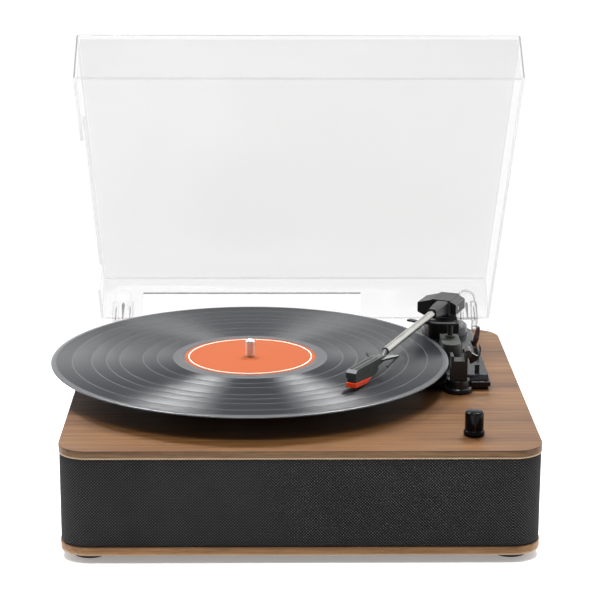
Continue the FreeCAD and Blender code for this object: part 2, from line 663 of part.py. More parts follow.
def lift_bar():
    """The curved bar that raises the tube wherever the arm stands, with its sliding pin."""
    pin = rod(LIFT_X, LIFT_Y, DECK_Z + 5.0, LIFT_BAR_TOP, LIFT_PIN_R)
    hoop = ring(PIVOT_X, PIVOT_Y, LIFT_BAR_TOP - LIFT_BAR_T, LIFT_BAR_TOP, LIFT_R + 2.3, LIFT_R - 2.3)
    ends = [math.radians(a) for a in (43, -5)]
    corners = [V(PIVOT_X - 80 * math.sin(a), PIVOT_Y - 80 * math.cos(a), DECK_Z) for a in ends]
    wedge = prism([V(PIVOT_X, PIVOT_Y, DECK_Z)] + corners, V(0, 0, 60))
    return joined([hoop.common(wedge), pin])


def cue_lever():
    """The hand lever, moulded with the stub shaft it turns on."""
    side = [(CUE_Y - 1.6, CUE_Z), (CUE_Y + 1.6, CUE_Z), (CUE_Y + 2.6, DECK_Z + 12),
            (CUE_Y + 3.6, DECK_Z + 15), (CUE_Y + 4.6, DECK_Z + 23.2), (CUE_Y + 3.4, DECK_Z + 24.8),
            (CUE_Y + 0.6, DECK_Z + 24.8), (CUE_Y - 1.4, DECK_Z + 22), (CUE_Y - 2.0, DECK_Z + 14.5)]
    front = [(CUE_X - 1.2, CUE_Z), (CUE_X + 1.2, CUE_Z), (CUE_X + 1.4, DECK_Z + 11.2),
             (CUE_X + 3.0, DECK_Z + 15.4), (CUE_X + 3.8, DECK_Z + 24.0), (CUE_X + 2.8, DECK_Z + 24.9),
             (CUE_X + 1.6, DECK_Z + 24.0), (CUE_X - 1.1, DECK_Z + 14.2), (CUE_X - 1.2, DECK_Z + 11.2)]
    paddle = side_prism(side, CUE_X - 6, CUE_X + 6).common(front_prism(front, CUE_Y - 6, CUE_Y + 8))
    hub = Part.makeCylinder(3.0, 3.8, V(CUE_X - 1.9, CUE_Y, CUE_Z), X_AXIS)
    shaft = Part.makeCylinder(CUE_SHAFT_R, 9.0, V(CUE_X - 9.0, CUE_Y, CUE_Z), X_AXIS)
    return joined([paddle, hub, shaft])


def speed_slider():
    stem = box(SPEED_X - 0.7, SPEED_X + 0.7, SPEED_Y - 1.5, SPEED_Y + 1.5,
               DECK_Z + 5.0, DECK_Z + BASE_H + GAP)
    plate = box(SPEED_X - 1.6, SPEED_X + 1.6, SPEED_Y - 3.5, SPEED_Y + 3.5, DECK_Z + 3.2, DECK_Z + 5.0)
    outline = [(SPEED_Y - 2.2, DECK_Z + BASE_H + GAP), (SPEED_Y + 2.2, DECK_Z + BASE_H + GAP),
               (SPEED_Y + 1.5, DECK_Z + 15.2), (SPEED_Y - 1.5, DECK_Z + 15.2)]
    tab = side_prism(outline, SPEED_X - 1.7, SPEED_X + 1.7)
    return joined([plate, stem, tab])


# ---- tonearm ---------------------------------------------------------------------------------
# Drawn pointing along +X with the pivot at the origin of X and Y, then turned into place. In these
# coordinates +Y is the side of the arm away from the record.


def aimed(shape):
    """Turns a shape drawn along +X from the pivot to the arm's place over the record."""
    placed = shape.copy()
    placed.rotate(V(0, 0, 0), Z_AXIS, -90 - ARM_ANGLE)
    placed.translate(V(PIVOT_X, PIVOT_Y, 0))
    return placed


def shell_place(shape):
    """Puts a shape drawn along +X from the tube's end onto the arm, turned towards the spindle."""
    placed = shape.copy()
    placed.rotate(V(0, 0, 0), Z_AXIS, -SHELL_ANGLE)
    placed.translate(V(TUBE_END, SHELL_SIDE, 0))
    return placed


HEAD_LOW = DECK_Z + 24.0
HEAD_TOP = DECK_Z + 38.4
LID_T = 0.9
TILT_PIN_R = 1.5


def tube_height(along):
    return DECK_Z + 34.0 - along * math.tan(math.radians(TUBE_DROP))


def tilt_pin():
    return Part.makeCylinder(TILT_PIN_R, 22.4, V(0, -11.2, TILT_Z), Y_AXIS)


def arm_yoke():
    """The turning post inside the head block, its cross pin, and its shaft down through the column."""
    shaft = rod(0, 0, DECK_Z - 2.0, HEAD_LOW, YOKE_SHAFT_R)
    disc = rod(0, 0, COLUMN_TOP + GAP, HEAD_LOW - 0.7, 6.0)
    post = box(-3.4, 3.4, -5.0, 5.0, HEAD_LOW - 0.7, TILT_Z + 3.0)
    return joined([shaft, disc, post, tilt_pin()])


def counterweight():
    return box(-15.5, -7.5, -8.0, 8.0, HEAD_LOW, TILT_Z + 3.5)


def head_block():
    """The faceted block that carries the tube, hollow below for the post and the weight."""
    outline = [(-21.5, DECK_Z + 34.4), (-9.8, HEAD_TOP - LID_T), (6.4, HEAD_TOP - LID_T),
               (11.4, DECK_Z + 34.8), (11.4, DECK_Z + 27.0), (8.4, HEAD_LOW), (-16.0, HEAD_LOW),
               (-21.5, DECK_Z + 26.4)]
    body = prism([V(-17.0, y, z) for y, z in outline], V(23.8, 0, 0))
    lid = box(-17.8, 7.6, -9.4, 6.0, HEAD_TOP - LID_T - 0.4, HEAD_TOP)
    ridge = box(5.0, 7.6, 4.0, 5.6, HEAD_LOW + 1.5, HEAD_TOP - LID_T)
    groove = box(5.6, 8, 6.2, 8.6, HEAD_LOW + 2, DECK_Z + 33.4)
    cavity = box(-6.5, 5.0, -8.4, 8.4, HEAD_LOW - 1, TILT_Z + 4.2)
    bore = Part.makeCylinder(TILT_PIN_R + RUN, 24.0, V(0, -12.0, TILT_Z), Y_AXIS)
    return less(joined([body, lid, ridge]), [groove, cavity, bore, counterweight()])


def arm_tube():
    start = V(14.0, 0, tube_height(14.0))
    end = V(TUBE_END, 0, tube_height(TUBE_END))
    return rod_between(start, end, TUBE_R)


def arm_boot():
    """The tapered socket between the head block and the tube."""
    rear = [(5.4, -6.4), (5.4, 3.0), (3.4, 4.0), (-3.4, 4.0),
            (-5.4, 3.0), (-5.4, -6.4), (-3.8, -8.2), (3.8, -8.2)]
    front = [(3.7, -2.4), (3.7, 2.2), (2.2, 3.9), (-2.2, 3.9),
             (-3.7, 2.2), (-3.7, -2.4), (-2.2, -3.9), (2.2, -3.9)]
    wires = []
    for x, ends in ((6.8, rear), (35.0, front)):
        points = [V(x, y, tube_height(x) + z) for y, z in ends]
        wires.append(Part.makePolygon(points + [points[0]]))
    return less(Part.makeLoft(wires, True, True), [arm_tube(), head_block()])


SHELL_TOP = DECK_Z + 33.6
SHELL_LEN = 62.5
SHELL_HALF = 4.2
CARTRIDGE_HALF = 3.4
GUARD_HALF = 3.9
CARTRIDGE_LOW = DECK_Z + 24.2


def headshell():
    """The long shell that carries the cartridge, with its swept wing on the record side."""
    plan = [(8.0, 3.2), (22.0, SHELL_HALF), (SHELL_LEN, SHELL_HALF - 0.2), (SHELL_LEN, 0.2 - SHELL_HALF),
            (22.0, -SHELL_HALF), (8.0, -3.2)]
    plate = prism([V(x, y, SHELL_TOP - 6.4) for x, y in plan], V(0, 0, 6.4))
    slope = prism([V(7.0, -9, SHELL_TOP + 0.1), V(20.0, -9, SHELL_TOP + 0.1), V(7.0, -9, SHELL_TOP - 2.4)],
                  V(0, 18, 0))
    lip = prism([V(SHELL_LEN - 2.6, -9, SHELL_TOP + 0.1), V(SHELL_LEN + 0.1, -9, SHELL_TOP + 0.1),
                 V(SHELL_LEN + 0.1, -9, SHELL_TOP - 2.2)], V(0, 18, 0))
    under = prism([V(7.0, -9, SHELL_TOP - 7.0), V(7.0, -9, SHELL_TOP - 4.0), V(38.0, -9, SHELL_TOP - 6.5),
                   V(38.0, -9, SHELL_TOP - 7.0)], V(0, 18, 0))
    neck = rod_between(V(0.6, -SHELL_SIDE, tube_height(TUBE_END)), V(10.0, -0.4, SHELL_TOP - 3.6), 2.0)
    ribs = [box(24.0, SHELL_LEN - 4.0, middle - 0.35, middle + 0.35, SHELL_TOP - 0.1, SHELL_TOP + 0.4)
            for middle in (-2.0, 2.0)]
    wing = prism([V(24.0, 0.6 - SHELL_HALF, SHELL_TOP - 2.4), V(12.0, -12.6, SHELL_TOP - 2.4),
                  V(14.0, -2.6, SHELL_TOP - 2.4)], V(0, 0, 1.6))
    body = joined([less(plate, [slope, lip, under]), neck, wing] + ribs)
    return body.cut(cartridge()).cut(stylus_guard())


def finger_lift():
    """The swept-back blade on the outer side of the headshell, with a thin bar to lift by."""
    z0 = SHELL_TOP - 3.4
    outline = [(8.0, 3.2), (22.0, SHELL_HALF), (5.6, 11.0), (3.4, 9.9)]
    blade = prism([V(x, y, z0) for x, y in outline], V(0, 0, 1.4))
    bar = rod_between(V(4.6, 10.1, z0 + 0.7), V(19.0, 8.2, z0 - 4.0), 0.8)
    return joined([blade, bar])


def cartridge():
    side = [(24.0, SHELL_TOP - 2.6), (24.0, DECK_Z + 24.8), (28.6, DECK_Z + 22.3), (35.6, DECK_Z + 22.2),
            (SHELL_LEN - 0.6, CARTRIDGE_LOW), (SHELL_LEN - 0.6, SHELL_TOP - 2.6)]
    return prism([V(x, -CARTRIDGE_HALF, z) for x, z in side], V(0, 2 * CARTRIDGE_HALF, 0))


def stylus_guard():
    """The coloured cap under the cartridge's nose, slotted for the stylus arm."""
    side = [(35.6, DECK_Z + 22.2), (43.0, DECK_Z + 19.4), (SHELL_LEN, DECK_Z + 20.5),
            (SHELL_LEN, DECK_Z + 24.0), (SHELL_LEN - 0.6, CARTRIDGE_LOW)]
    body = prism([V(x, -GUARD_HALF, z) for x, z in side], V(0, 2 * GUARD_HALF, 0))
    slot = box(45.0, SHELL_LEN - 3.0, -1.0, 1.0, DECK_Z + 19, DECK_Z + 23)
    return body.cut(slot)


def stylus():
    arm = rod_between(V(51.5, 0, DECK_Z + 22.3), V(59.0, 0, DECK_Z + 19.9), 0.4)
    tip = Part.makeCone(0.15, 0.45, 1.8, V(58.9, 0, RECORD_TOP + STYLUS_CLEAR))
    return joined([arm, tip])


# ---- volume knob -----------------------------------------------------------------------------

POT_SHAFT_R = 3.0


def volume_knob():
    flange = rod(KNOB_X, KNOB_Y, DECK_Z + GAP, DECK_Z + 4.0, KNOB_FLANGE_R)
    flange = soften(flange, 0.8, at_height(DECK_Z + 4.0))
    body = rod(KNOB_X, KNOB_Y, DECK_Z + 4.0, DECK_Z + KNOB_H, KNOB_R)
    body = soften(body, 1.0, at_height(DECK_Z + KNOB_H))
    mark = box(KNOB_X - 0.4, KNOB_X + 0.4, KNOB_Y - KNOB_R - 1, KNOB_Y - KNOB_R + 0.4,
               DECK_Z + 5, DECK_Z + 18)
    return joined([flange, body]).cut(mark).cut(pot_shaft())


def pot_shaft():
    return rod(KNOB_X, KNOB_Y, BAND_TOP - 8.0, DECK_Z + KNOB_H - 4.0, POT_SHAFT_R)


def volume_pot():
    can = rod(KNOB_X, KNOB_Y, BAND_TOP - 10.0, BAND_TOP, 9.0)
    bush = rod(KNOB_X, KNOB_Y, BAND_TOP, DECK_Z, 3.6)
    bore = rod(KNOB_X, KNOB_Y, BAND_TOP - 8.3, DECK_Z + 1, POT_SHAFT_R + RUN)
    return can.fuse(bush).removeSplitter().cut(bore)


# ---- export ----------------------------------------------------------------------------------


def nodes():
    """Every separate piece, by name."""
    pieces = {
        "foot_screws": foot_screws(),
        "bottom_board": bottom_board(),
        "cabinet_frame": cabinet_frame(),
        "speaker_cloth": speaker_cloth(),
        "top_board": top_board(),
        "rear_panel": rear_panel(),
        "rca_sockets": rca_sockets(),
        "headphone_jack": headphone_jack(),
        "power_inlet": power_inlet(),
        "amplifier_board": amplifier_board(),
        "amplifier_parts": amplifier_parts(),
        "board_posts": board_posts(),
        "motor_can": motor_can(),
        "motor_pulley": motor_pulley(),
        "platter_bearing": platter_bearing(),
        "drive_belt": drive_belt(),
        "platter": platter(),
        "spindle": spindle(),
        "slip_mat": slip_mat(),
        "record": record_disc(),
        "record_label": record_label(),
        "volume_pot": volume_pot(),
        "pot_shaft": pot_shaft(),
        "volume_knob": volume_knob(),
        "hinge_pins": hinge_pins(),
        "hinge_screws": hinge_screws(),
        "dust_cover": dust_cover(),
        "arm_base": arm_base(),
        "base_screws": base_screws(),
        "arm_turret": arm_turret(),
        "arm_column": arm_column(),
        "lift_housing": lift_housing(),
        "lift_bar": lift_bar(),
        "rest_collar": rest_collar(),
        "arm_rest": arm_rest(),
        "rest_clip": rest_clip(),
        "cue_lever": cue_lever(),
        "speed_slider": speed_slider(),
        "arm_yoke": aimed(arm_yoke()),
        "head_block": aimed(head_block()),
        "counterweight": aimed(counterweight()),
        "arm_boot": aimed(arm_boot()),
        "arm_tube": aimed(arm_tube()),
        "headshell": aimed(shell_place(headshell())),
        "finger_lift": aimed(shell_place(finger_lift())),
        "cartridge": aimed(shell_place(cartridge())),
        "stylus_guard": aimed(shell_place(stylus_guard())),
        "stylus": aimed(shell_place(stylus())),
    }
    for number, (x, y) in enumerate(FOOT_SPOTS, 1):
        pieces[f"foot_{number}"] = foot(x, y)
    for side, name in ((-1, "left"), (1, "right")):
        pieces[f"speaker_frame_{name}"] = speaker_frame(side)
        pieces[f"speaker_cone_{name}"] = speaker_cone(side)
        pieces[f"hinge_lower_{name}"] = hinge_lower(side)
        pieces[f"hinge_upper_{name}"] = hinge_upper(side)
    return pieces


os.makedirs("parts", exist_ok=True)
for node, shape in nodes().items():
    shape.translate(ORIGIN_SHIFT)
    shape.exportStep("parts/" + node + ".step")
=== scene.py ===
import json
import math

import bmesh
import bpy
from mathutils import Matrix, Vector

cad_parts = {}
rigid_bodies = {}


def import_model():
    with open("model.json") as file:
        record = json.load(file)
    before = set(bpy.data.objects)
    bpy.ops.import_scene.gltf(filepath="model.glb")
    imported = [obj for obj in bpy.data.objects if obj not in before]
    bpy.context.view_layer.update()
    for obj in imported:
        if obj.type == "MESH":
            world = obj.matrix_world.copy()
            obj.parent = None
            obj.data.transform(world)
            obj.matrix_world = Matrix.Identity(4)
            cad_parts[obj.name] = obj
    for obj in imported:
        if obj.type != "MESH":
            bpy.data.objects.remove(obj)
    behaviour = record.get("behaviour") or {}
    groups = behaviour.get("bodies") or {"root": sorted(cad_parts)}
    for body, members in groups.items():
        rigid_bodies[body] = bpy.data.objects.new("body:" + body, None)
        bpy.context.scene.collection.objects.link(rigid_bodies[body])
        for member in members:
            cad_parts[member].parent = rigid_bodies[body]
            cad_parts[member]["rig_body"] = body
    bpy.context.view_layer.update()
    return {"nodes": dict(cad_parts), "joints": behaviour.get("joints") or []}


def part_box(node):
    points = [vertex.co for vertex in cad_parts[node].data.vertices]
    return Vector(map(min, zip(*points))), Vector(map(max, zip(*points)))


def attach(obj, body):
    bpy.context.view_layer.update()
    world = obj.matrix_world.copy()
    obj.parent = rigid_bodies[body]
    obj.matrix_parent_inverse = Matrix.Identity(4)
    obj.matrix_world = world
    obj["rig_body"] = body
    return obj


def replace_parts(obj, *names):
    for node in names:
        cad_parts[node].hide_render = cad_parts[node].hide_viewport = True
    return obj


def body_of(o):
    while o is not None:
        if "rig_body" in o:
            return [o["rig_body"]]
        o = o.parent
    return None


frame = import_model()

nodes = frame["nodes"]
joint = {j["name"]: j for j in frame["joints"]}
MM = 0.001

spin = Vector(joint["platter_spin"]["pos_m"])
record_low, record_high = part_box("record")
label_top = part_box("record_label")[1].z


# ---- materials -------------------------------------------------------------------------------

class Shader:
    """A Principled material with short calls for adding nodes to it."""

    def __init__(self, name, color=None, **settings):
        self.mat = bpy.data.materials.new(name)
        self.mat.use_nodes = True
        self.tree = self.mat.node_tree
        self.bsdf = self.tree.nodes["Principled BSDF"]
        if color:
            self.bsdf.inputs["Base Color"].default_value = (*color, 1)
        for key, value in settings.items():
            self.bsdf.inputs[key.replace("_", " ")].default_value = value

    def add(self, kind, props=None, **inputs):
        node = self.tree.nodes.new(kind)
        for key, value in (props or {}).items():
            setattr(node, key, value)
        for key, value in inputs.items():
            self.put(node.inputs[key.replace("_", " ")], value)
        return node

    def put(self, socket, value):
        if isinstance(value, bpy.types.NodeSocket):
            self.tree.links.new(value, socket)
        else:
            socket.default_value = value

    def set(self, key, value):
        self.put(self.bsdf.inputs[key], value)

    def coords(self, scale=(1, 1, 1), shift=(0, 0, 0), turn=0.0, source="Object"):
        tex = self.add("ShaderNodeTexCoord")
        node = self.add("ShaderNodeMapping", Scale=scale, Location=shift, Rotation=(0, 0, turn))
        self.put(node.inputs["Vector"], tex.outputs[source])
        return node.outputs["Vector"]

    def noise(self, vector, scale=1.0, detail=3.0, roughness=0.55, distortion=0.0):
        node = self.add("ShaderNodeTexNoise", Vector=vector, Scale=scale, Detail=detail, Roughness=roughness,
                        Distortion=distortion)
        return node.outputs["Fac"]

    def ramp(self, fac, stops):
        node = self.add("ShaderNodeValToRGB", Fac=fac)
        ramp = node.color_ramp
        while len(ramp.elements) < len(stops):
            ramp.elements.new(0.5)
        for element, (at, value) in zip(ramp.elements, stops):
            element.position = at
            element.color = (*value, 1) if isinstance(value, tuple) else (value, value, value, 1)
        return node.outputs["Color"]

    def math(self, operation, a, b=0.5, c=0.5):
        node = self.tree.nodes.new("ShaderNodeMath")
        node.operation = operation
        for socket, value in zip(node.inputs, (a, b, c)):
            self.put(socket, value)
        return node.outputs[0]

    def mix(self, fac, a, b, blend="MIX"):
        node = self.tree.nodes.new("ShaderNodeMix")
        node.data_type = "RGBA"
        node.blend_type = blend
        self.put(node.inputs["Factor"], fac)
        for socket, value in ((node.inputs["A"], a), (node.inputs["B"], b)):
            self.put(socket, (*value, 1) if isinstance(value, tuple) else value)
        return node.outputs["Result"]

    def lerp(self, fac, low, high):
        node = self.add("ShaderNodeMapRange", Value=fac, To_Min=low, To_Max=high)
        return node.outputs["Result"]

    def scaled(self, color, factor):
        node = self.add("ShaderNodeVectorMath", {"operation": "SCALE"}, Vector=color, Scale=factor)
        return node.outputs["Vector"]

    def distance_out(self, split):
        """Distance from the object's own upright axis, given its separated coordinates."""
        squares = [self.math("POWER", split.outputs[axis], 2.0) for axis in "XY"]
        return self.math("SQRT", self.math("ADD", *squares))

    def bump(self, height, distance, strength=1.0):
        node = self.add("ShaderNodeBump", Height=height, Distance=distance, Strength=strength)
        self.set("Normal", node.outputs["Normal"])
        return node


def walnut(name, height=None, tone=1.0):
    """Straight-grained veneer along X. With a (low, high) height it is the board's cut edge instead, with a
    painted highlight along its lower arris.
    """
    s = Shader(name, Specular_IOR_Level=0.25 if height else 0.2, Coat_Weight=0.0 if height else 0.06,
               Coat_Roughness=0.25)
    streak = s.noise(s.coords((7, 260, 260)), 1.0, 6.0, 0.62, 0.5)
    broad = s.noise(s.coords((1.6, 17, 17), (3, 1, 0)), 1.0, 3.0, 0.5, 1.0)
    pores = s.noise(s.coords((60, 1900, 1900)), 1.0, 2.0, 0.6)
    field = s.math("ADD", s.math("MULTIPLY", streak, 0.6), s.math("MULTIPLY", broad, 0.4))
    if height:
        stops = [(0.36, (0.095, 0.042, 0.013)), (0.5, (0.185, 0.092, 0.034)), (0.64, (0.28, 0.155, 0.062))]
    else:
        stops = [(0.35, (0.040, 0.015, 0.004)), (0.44, (0.092, 0.038, 0.011)), (0.55, (0.138, 0.063, 0.020)),
                 (0.66, (0.220, 0.108, 0.038))]
    stops = [(at, tuple(v * tone for v in color)) for at, color in stops]
    color = s.mix(1.0, s.ramp(field, stops), s.ramp(pores, [(0.38, 0.68), (0.5, 1.0)]), "MULTIPLY")
    if height:
        z = s.add("ShaderNodeSeparateXYZ", Vector=s.coords()).outputs["Z"]
        rise = s.math("DIVIDE", s.math("SUBTRACT", z, height[0]), height[1] - height[0])
        # Painted highlight: a pale band along the lower arris of the cut edge; cap darkens the top of the
        # edge.
        lip = s.ramp(rise, [(0.12, 1.0), (0.22, 0.0)])
        cap = s.ramp(rise, [(0.80, 1.0), (0.92, 0.55)])
        color = s.mix(1.0, s.mix(lip, color, (0.38, 0.27, 0.17)), cap, "MULTIPLY")
    s.set("Base Color", color)
    s.set("Roughness", s.lerp(pores, 0.34, 0.52))
    s.bump(s.math("ADD", s.math("MULTIPLY", pores, 0.7), s.math("MULTIPLY", streak, 0.3)), 0.0001, 0.5)
    return s.mat


def plastic(name, color, rough, grain=2600.0, depth=0.00003, coat=0.0, mottle=0.12, **more):
    """Moulded plastic: a fine texture, faint tone changes and rubbed patches in the gloss."""
    s = Shader(name, color, Coat_Weight=coat, Coat_Roughness=0.06, **more)
    fine = s.noise(s.coords(), grain, 2.0, 0.6)
    slow = s.noise(s.coords(shift=(0.3, 0.1, 0)), 95.0, 3.0, 0.55)
    tone = s.lerp(slow, 1.0 - mottle, 1.0 + mottle)
    s.set("Base Color", s.scaled(color, tone))
    wear = s.math("ADD", s.math("MULTIPLY", slow, 0.6), s.math("MULTIPLY", fine, 0.4))
    s.set("Roughness", s.lerp(wear, rough * 0.72, rough * 1.28))
    s.bump(fine, depth, 0.5)
    return s.mat


def metal(name, color, rough, brush=(40, 40, 2400), depth=0.00002):
    """Bare or plated metal with fine tool marks along one direction."""
    s = Shader(name, color, Metallic=1.0)
    lines = s.noise(s.coords(brush), 1.0, 3.0, 0.6)
    cloud = s.noise(s.coords(), 60.0, 3.0, 0.5)
    wear = s.math("ADD", s.math("MULTIPLY", lines, 0.5), s.math("MULTIPLY", cloud, 0.5))
    s.set("Roughness", s.lerp(wear, rough * 0.6, rough * 1.4))
    s.set("Base Color", s.scaled(color, s.lerp(cloud, 0.9, 1.08)))
    s.bump(lines, depth, 0.4)
    return s.mat


def turned_metal(name, color):
    """A lathe-turned pin: rings of fine cuts stretch every highlight into an upright streak."""
    s = Shader(name, color, Metallic=1.0, Anisotropic=0.85, Anisotropic_Rotation=0.25)
    s.set("Tangent", s.add("ShaderNodeTangent", {"direction_type": "RADIAL", "axis": "Z"}).outputs["Tangent"])
    cuts = s.noise(s.coords((1, 1, 5200)), 1.0, 3.0, 0.6)
    cloud = s.noise(s.coords(), 240.0, 3.0, 0.5)
    s.set("Roughness", s.lerp(cuts, 0.24, 0.36))
    s.set("Base Color", s.scaled(color, s.lerp(cloud, 0.93, 1.04)))
    s.bump(cuts, 0.000004, 0.3)
    return s.mat


def fibre(name, color, grain=900.0, depth=0.0002):
    """Felt, pulp or raw board: a matt, speckled, slightly raised fibre surface."""
    s = Shader(name, color, Roughness=0.92, Sheen_Weight=0.15)
    fine = s.noise(s.coords(), grain, 4.0, 0.7)
    dark = tuple(v * 0.6 for v in color)
    pale = tuple(min(1, v * 1.5) for v in color)
    s.set("Base Color", s.ramp(fine, [(0.35, dark), (0.5, color), (0.7, pale)]))
    s.set("Roughness", s.lerp(fine, 0.8, 1.0))
    s.bump(fine, depth, 0.6)
    return s.mat


def speaker_weave(name):
    """Open speaker cloth: dark threads crossing on both diagonals, each crossing a small lit knot."""
    s = Shader(name, Roughness=0.85, Specular_IOR_Level=0.25)
    pitch = 0.0015
    split = s.add("ShaderNodeSeparateXYZ", Vector=s.add("ShaderNodeTexCoord").outputs["UV"])
    wobble = s.math("MULTIPLY", s.math("SUBTRACT", s.noise(s.coords(), 420.0, 2.0), 0.5), 0.5)

    def thread(angle):
        along = s.math("ADD", s.math("MULTIPLY", split.outputs["X"], math.cos(angle) * 2 * math.pi / pitch),
                       s.math("MULTIPLY", split.outputs["Y"], math.sin(angle) * 2 * math.pi / pitch))
        wave = s.math("SINE", s.math("ADD", along, wobble))
        return s.math("MULTIPLY", s.math("ADD", wave, 1.0), 0.5)

    rising, falling = thread(math.radians(-45)), thread(math.radians(45))
    across = s.add("ShaderNodeSeparateXYZ", Vector=s.coords()).outputs["X"]
    lean = s.add("ShaderNodeMapRange", Value=across, From_Min=-0.06, From_Max=0.06, To_Min=0.25,
                 To_Max=0.75).outputs["Result"]
    lines = s.math("ADD", s.math("MULTIPLY", falling, lean),
                   s.math("MULTIPLY", rising, s.math("SUBTRACT", 1.0, lean)))
    field = s.math("ADD", s.math("MULTIPLY", lines, 0.6),
                   s.math("MULTIPLY", s.math("MULTIPLY", rising, falling), 0.4))
    slow = s.noise(s.coords(), 26.0, 3.0)
    color = s.ramp(field, [(0.18, (0.0008, 0.0008, 0.0009)), (0.5, (0.006, 0.006, 0.0065)),
                           (0.88, (0.066, 0.066, 0.068))])
    s.set("Base Color", s.mix(1.0, color, s.ramp(slow, [(0.3, 0.8), (0.7, 1.15)]), "MULTIPLY"))
    s.set("Roughness", s.lerp(field, 0.95, 0.7))
    s.bump(field, 0.0005, 0.8)
    return s.mat


TRACK_GAPS = [v * MM for v in (70.7, 81.7, 99.2, 109.3, 120.4, 135.0)]
GAP_HALF = 0.00035
DEAD_WAX_R = 58.8 * MM
LEAD_IN_R = 147.0 * MM
GROOVE_LEAN = 0.2
GROOVE_STRETCH = 0.96


def vinyl(name):
    """Pressed grooves fan the light out into wedges; smooth wax and track gaps are painted as pale rings, a
    painted sheen.
    """
    s = Shader(name, Specular_IOR_Level=0.24, Anisotropic_Rotation=0.25)
    tangent = s.add("ShaderNodeTangent", {"direction_type": "RADIAL", "axis": "Z"})
    s.set("Tangent", tangent.outputs["Tangent"])
    split = s.add("ShaderNodeSeparateXYZ", Vector=s.coords())
    radius = s.distance_out(split)

    def turns(per_metre, detail, roughness):
        along = s.add("ShaderNodeCombineXYZ", X=s.math("MULTIPLY", radius, per_metre))
        return s.noise(along.outputs["Vector"], 1.0, detail, roughness)

    fine, loud = turns(1400.0, 4.0, 0.75), turns(210.0, 3.0, 0.6)
    smooth = s.math("MAXIMUM", s.math("LESS_THAN", radius, DEAD_WAX_R),
                    s.math("GREATER_THAN", radius, LEAD_IN_R))
    for at in TRACK_GAPS:
        near = s.math("ABSOLUTE", s.math("SUBTRACT", radius, at))
        smooth = s.math("MAXIMUM", smooth, s.math("LESS_THAN", near, GAP_HALF))
    tone = s.mix(s.math("ADD", s.math("MULTIPLY", fine, 0.5), s.math("MULTIPLY", loud, 0.5)),
                 (0.004, 0.005, 0.0065), (0.012, 0.014, 0.0175))
    # Painted sheen: the smooth wax and track gaps get a paler base colour than the grooved vinyl.
    s.set("Base Color", s.mix(smooth, tone, (0.055, 0.056, 0.060)))
    s.set("Anisotropic", s.math("SUBTRACT", GROOVE_STRETCH, s.math("MULTIPLY", smooth, GROOVE_STRETCH)))
    s.set("Roughness", s.mix(smooth, s.lerp(fine, 0.30, 0.35), s.lerp(fine, 0.26, 0.34)))
    flat = s.add("ShaderNodeCombineXYZ", X=split.outputs["X"], Y=split.outputs["Y"])
    outward = s.add("ShaderNodeVectorMath", {"operation": "NORMALIZE"}, Vector=flat.outputs["Vector"])
    to_world = {"vector_type": "VECTOR", "convert_from": "OBJECT", "convert_to": "WORLD"}
    outward = s.add("ShaderNodeVectorTransform", to_world, Vector=outward.outputs["Vector"])
    lean = s.scaled(outward.outputs["Vector"],
                    s.math("SUBTRACT", GROOVE_LEAN, s.math("MULTIPLY", smooth, GROOVE_LEAN)))
    leant = s.add("ShaderNodeVectorMath", {"operation": "ADD"})
    s.put(leant.inputs[0], s.add("ShaderNodeNewGeometry").outputs["Normal"])
    s.put(leant.inputs[1], lean)
    unit = s.add("ShaderNodeVectorMath", {"operation": "NORMALIZE"}, Vector=leant.outputs["Vector"])
    s.put(s.bump(fine, 0.00002, 0.25).inputs["Normal"], unit.outputs["Vector"])
    return s.mat


def film(name, tint, cover, rough=0.08):
    """Clear moulded sheet seen as a thin grey film: hairline scuffs and a faint uneven haze."""
    s = Shader(name, tint, Specular_IOR_Level=0.4)
    scuff = s.noise(s.coords((30, 900, 30)), 1.0, 4.0, 0.7)
    haze = s.noise(s.coords(), 9.0, 3.0)
    wear = s.math("ADD", s.math("MULTIPLY", scuff, 0.4), s.math("MULTIPLY", haze, 0.6))
    s.set("Roughness", s.lerp(wear, rough * 0.6, rough * 1.6))
    s.set("Alpha", s.lerp(wear, cover * 0.9, cover * 1.1))
    s.bump(haze, 0.00004, 0.2)
    return s.mat


